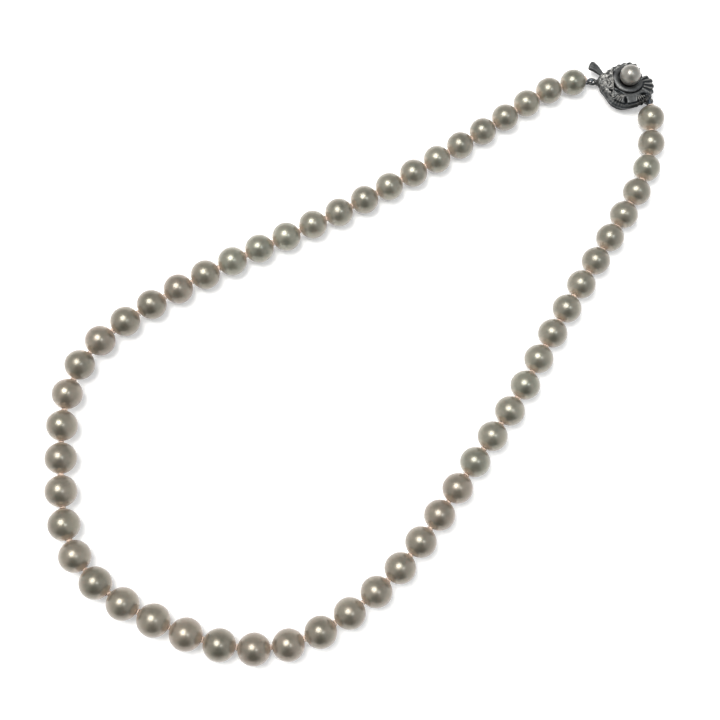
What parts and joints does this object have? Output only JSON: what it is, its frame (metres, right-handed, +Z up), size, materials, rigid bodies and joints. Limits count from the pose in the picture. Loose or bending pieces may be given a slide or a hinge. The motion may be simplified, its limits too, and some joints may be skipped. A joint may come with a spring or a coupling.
{
  "type": "pearl necklace",
  "caption": "Graduated round pearl necklace knotted on silk, laid in a closed loop, with an oxidised silver leaf clasp that carries one smaller pearl.",
  "frame": {"origin": "centre of the base of the necklace's bounding box, on the surface it lies on", "axes": "+Z up; +Y from the front of the loop, at the largest pearl, to the clasp; +X to the right seen from above"},
  "size_m": [0.0935, 0.1821, 0.0083],
  "materials": {
    "pearl_nacre": "lustrous champagne-grey nacre",
    "clasp_pearl_nacre": "lustrous cream nacre",
    "silk": "twisted silk beading thread",
    "oxidised_silver": "dark oxidised silver, bright on raised edges",
    "gimp_wire": "coiled fine wire, tarnished"
  },
  "bodies": {
    "span_28": {"pearl_28": "pearl_nacre", "silk_thread": "silk"},
    "span_01": {"pearl_01": "pearl_nacre", "gimp_tongue_side": "gimp_wire"},
    "span_02_04": {"pearl_02": "pearl_nacre", "pearl_03": "pearl_nacre", "pearl_04": "pearl_nacre"},
    "span_05_12": {"pearl_pair_05_06": "pearl_nacre", "pearl_pair_07_08": "pearl_nacre", "pearl_pair_09_10": "pearl_nacre", "pearl_pair_11_12": "pearl_nacre"},
    "span_13_16": {"pearl_pair_13_14": "pearl_nacre", "pearl_pair_15_16": "pearl_nacre"},
    "span_17_20": {"pearl_17": "pearl_nacre", "pearl_18": "pearl_nacre", "pearl_19": "pearl_nacre", "pearl_20": "pearl_nacre"},
    "span_21_23": {"pearl_21": "pearl_nacre", "pearl_22": "pearl_nacre", "pearl_23": "pearl_nacre"},
    "span_24_27": {"pearl_24": "pearl_nacre", "pearl_25": "pearl_nacre", "pearl_26": "pearl_nacre", "pearl_27": "pearl_nacre"},
    "span_29_30": {"pearl_29": "pearl_nacre", "pearl_30": "pearl_nacre"},
    "span_31_33": {"pearl_31": "pearl_nacre", "pearl_32": "pearl_nacre", "pearl_33": "pearl_nacre"},
    "span_34_36": {"pearl_34": "pearl_nacre", "pearl_35": "pearl_nacre", "pearl_36": "pearl_nacre"},
    "span_37_40": {"pearl_37": "pearl_nacre", "pearl_38": "pearl_nacre", "pearl_39": "pearl_nacre", "pearl_40": "pearl_nacre"},
    "span_41_50": {"pearl_pair_41_42": "pearl_nacre", "pearl_pair_43_44": "pearl_nacre", "pearl_pair_45_46": "pearl_nacre", "pearl_pair_47_48": "pearl_nacre", "pearl_pair_49_50": "pearl_nacre"},
    "span_51_55": {"pearl_pair_51_52": "pearl_nacre", "pearl_53": "pearl_nacre", "pearl_54": "pearl_nacre", "pearl_55": "pearl_nacre"},
    "span_56": {"pearl_56": "pearl_nacre", "gimp_clasp_side": "gimp_wire"},
    "clasp": {"clasp_back_plate": "oxidised_silver", "clasp_box": "oxidised_silver", "leaf_shell": "oxidised_silver", "leaf_ribbon": "oxidised_silver", "pearl_cup": "oxidised_silver", "pearl_peg": "oxidised_silver", "clasp_pearl": "clasp_pearl_nacre", "clasp_ring": "oxidised_silver"},
    "tongue": {"tongue_plate": "oxidised_silver", "tongue_ring": "oxidised_silver"},
    "tongue_spring": {"tongue_spring": "oxidised_silver", "release_tab": "oxidised_silver"}
  },
  "joints": [
    {"name": "strand_open", "type": "hinge", "parent": "span_28", "child": "span_24_27", "pos_m": [-0.00874, -0.08736, 0.00366], "axis": [0, 0, 1], "range_deg": [0, 24.87], "deforming": ["silk_thread"]},
    {"name": "knot_23_24", "type": "hinge", "parent": "span_24_27", "child": "span_21_23", "pos_m": [-0.03316, -0.07027, 0.00358], "axis": [0, 0, 1], "range_deg": [-33.8, 42.2]},
    {"name": "knot_20_21", "type": "hinge", "parent": "span_21_23", "child": "span_17_20", "pos_m": [-0.04363, -0.0511, 0.00351], "axis": [0, 0, 1], "range_deg": [-19.9, 56.1]},
    {"name": "knot_16_17", "type": "hinge", "parent": "span_17_20", "child": "span_13_16", "pos_m": [-0.0375, -0.02281, 0.00344], "axis": [0, 0, 1], "range_deg": [-35.3, 40.7]},
    {"name": "knot_12_13", "type": "hinge", "parent": "span_13_16", "child": "span_05_12", "pos_m": [-0.02714, 0.00355, 0.00336], "axis": [0, 0, 1], "range_deg": [-39.3, 36.7]},
    {"name": "knot_04_05", "type": "hinge", "parent": "span_05_12", "child": "span_02_04", "pos_m": [-0.0105, 0.05545, 0.00321], "axis": [0, 0, 1], "range_deg": [-39, 37]},
    {"name": "knot_01_02", "type": "hinge", "parent": "span_02_04", "child": "span_01", "pos_m": [-0.00521, 0.07445, 0.00316], "axis": [0, 0, 1], "range_deg": [-21.4, 54.6]},
    {"name": "knot_28_29", "type": "hinge", "parent": "span_28", "child": "span_29_30", "pos_m": [-0.00101, -0.08729, 0.00368], "axis": [0, 0, -1], "range_deg": [-26.6, 49.4]},
    {"name": "knot_30_31", "type": "hinge", "parent": "span_29_30", "child": "span_31_33", "pos_m": [0.01408, -0.08326, 0.00371], "axis": [0, 0, -1], "range_deg": [-34.8, 41.2]},
    {"name": "knot_33_34", "type": "hinge", "parent": "span_31_33", "child": "span_34_36", "pos_m": [0.03384, -0.07163, 0.00364], "axis": [0, 0, -1], "range_deg": [-23.3, 52.7]},
    {"name": "knot_36_37", "type": "hinge", "parent": "span_34_36", "child": "span_37_40", "pos_m": [0.04216, -0.05079, 0.00358], "axis": [0, 0, -1], "range_deg": [-34.1, 41.9]},
    {"name": "knot_40_41", "type": "hinge", "parent": "span_37_40", "child": "span_41_50", "pos_m": [0.04153, -0.02134, 0.00349], "axis": [0, 0, -1], "range_deg": [-37.1, 38.9]},
    {"name": "knot_50_51", "type": "hinge", "parent": "span_41_50", "child": "span_51_55", "pos_m": [0.02955, 0.0484, 0.0033], "axis": [0, 0, -1], "range_deg": [-37.4, 38.6]},
    {"name": "knot_55_56", "type": "hinge", "parent": "span_51_55", "child": "span_56", "pos_m": [0.01917, 0.08002, 0.00321], "axis": [0, 0, -1], "range_deg": [-31.2, 44.8]},
    {"name": "tongue_ring_swivel", "type": "hinge", "parent": "span_01", "child": "tongue", "pos_m": [-0.0001, 0.0809, 0.0019], "axis": [0, 0, 1], "range_deg": [-46.5, 153.5]},
    {"name": "clasp_ring_swivel", "type": "hinge", "parent": "span_56", "child": "clasp", "pos_m": [0.0135, 0.0862, 0.0019], "axis": [0, 0, -1], "range_deg": [-52.5, 147.5]},
    {"name": "release_tab_press", "type": "hinge", "parent": "tongue", "child": "tongue_spring", "pos_m": [0.0092, 0.0831, 0.0021], "axis": [0, -1, 0], "range_deg": [0, 2.8], "stiffness_Nm_per_rad": 0.3, "springref_deg": -1.15}
  ],
  "couplings": [
    {"joint": "knot_23_24", "follows": "strand_open", "ratio": 0.7426},
    {"joint": "knot_20_21", "follows": "strand_open", "ratio": 1.1504},
    {"joint": "knot_16_17", "follows": "strand_open", "ratio": 0.2594},
    {"joint": "knot_12_13", "follows": "strand_open", "ratio": -0.1031},
    {"joint": "knot_04_05", "follows": "strand_open", "ratio": -0.063},
    {"joint": "knot_01_02", "follows": "strand_open", "ratio": 0.6434},
    {"joint": "knot_28_29", "follows": "strand_open", "ratio": 0.405},
    {"joint": "knot_30_31", "follows": "strand_open", "ratio": 0.4376},
    {"joint": "knot_33_34", "follows": "strand_open", "ratio": 1.063},
    {"joint": "knot_36_37", "follows": "strand_open", "ratio": 0.6468},
    {"joint": "knot_40_41", "follows": "strand_open", "ratio": 0.2402},
    {"joint": "knot_50_51", "follows": "strand_open", "ratio": 0.2369},
    {"joint": "knot_55_56", "follows": "strand_open", "ratio": 0.6856},
    {"joint": "tongue_ring_swivel", "follows": "strand_open", "ratio": 1.506},
    {"joint": "clasp_ring_swivel", "follows": "strand_open", "ratio": 1.3371}
  ]
}
